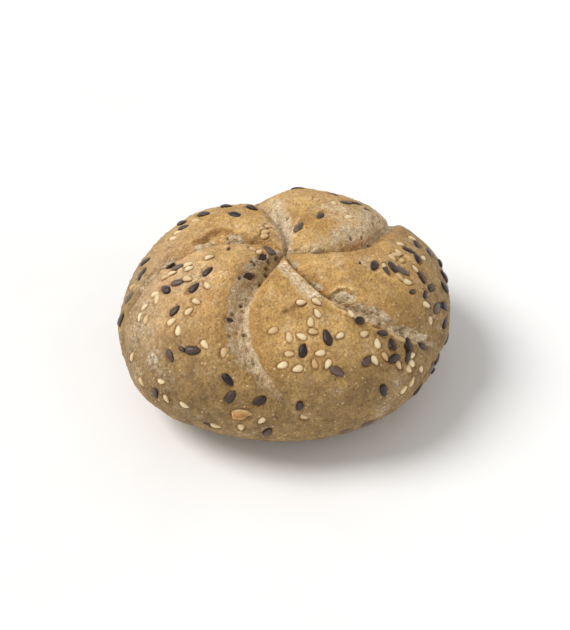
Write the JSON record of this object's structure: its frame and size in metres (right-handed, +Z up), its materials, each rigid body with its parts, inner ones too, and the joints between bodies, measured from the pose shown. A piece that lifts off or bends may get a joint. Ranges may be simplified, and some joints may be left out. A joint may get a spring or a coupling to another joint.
{
  "type": "bread roll",
  "caption": "Round multigrain kaiser roll with puffed lobes folded into a pinwheel round a central pit, and sesame seeds and linseeds baked into its crust.",
  "frame": {"origin": "middle of the flat spot that the roll rests on", "axes": "+Z up, out of the pit where the folds meet; +X along the roll's longer width; the front of the roll looks along -Y"},
  "size_m": [0.108, 0.1009, 0.0524],
  "materials": {
    "crust": "matte baked crust, golden brown and slightly floury",
    "linseed": "dark brown seed, smooth with a soft sheen",
    "sesame": "cream seed, matt, toasted at its edges",
    "kernel": "tan kernel, matt, toasted"
  },
  "bodies": {
    "root": {"bread_roll": "crust", "linseed_01": "linseed", "linseed_02": "linseed", "linseed_03": "linseed", "linseed_04": "linseed", "linseed_05": "linseed", "linseed_06": "linseed", "linseed_07": "linseed", "linseed_08": "linseed", "linseed_09": "linseed", "linseed_10": "linseed", "linseed_11": "linseed", "linseed_12": "linseed", "linseed_13": "linseed", "linseed_14": "linseed", "linseed_15": "linseed", "linseed_16": "linseed", "linseed_17": "linseed", "linseed_18": "linseed", "linseed_19": "linseed", "linseed_20": "linseed", "linseed_21": "linseed", "linseed_22": "linseed", "linseed_23": "linseed", "linseed_24": "linseed", "linseed_25": "linseed", "linseed_26": "linseed", "linseed_27": "linseed", "linseed_28": "linseed", "linseed_29": "linseed", "linseed_30": "linseed", "sesame_seed_01": "sesame", "sesame_seed_02": "sesame", "sesame_seed_03": "sesame", "sesame_seed_04": "sesame", "sesame_seed_05": "sesame", "sesame_seed_06": "sesame", "sesame_seed_07": "sesame", "sesame_seed_08": "sesame", "sesame_seed_09": "sesame", "sesame_seed_10": "sesame", "sesame_seed_11": "sesame", "sesame_seed_12": "sesame", "sesame_seed_13": "sesame", "sesame_seed_14": "sesame", "sesame_seed_15": "sesame", "sesame_seed_16": "sesame", "sesame_seed_17": "sesame", "sesame_seed_18": "sesame", "sesame_seed_19": "sesame", "sesame_seed_20": "sesame", "sesame_seed_21": "sesame", "sesame_seed_22": "sesame", "sesame_seed_23": "sesame", "sesame_seed_24": "sesame", "sesame_seed_25": "sesame", "sesame_seed_26": "sesame", "sesame_seed_27": "sesame", "sesame_seed_28": "sesame", "sunflower_kernel": "kernel"}
  },
  "joints": []
}
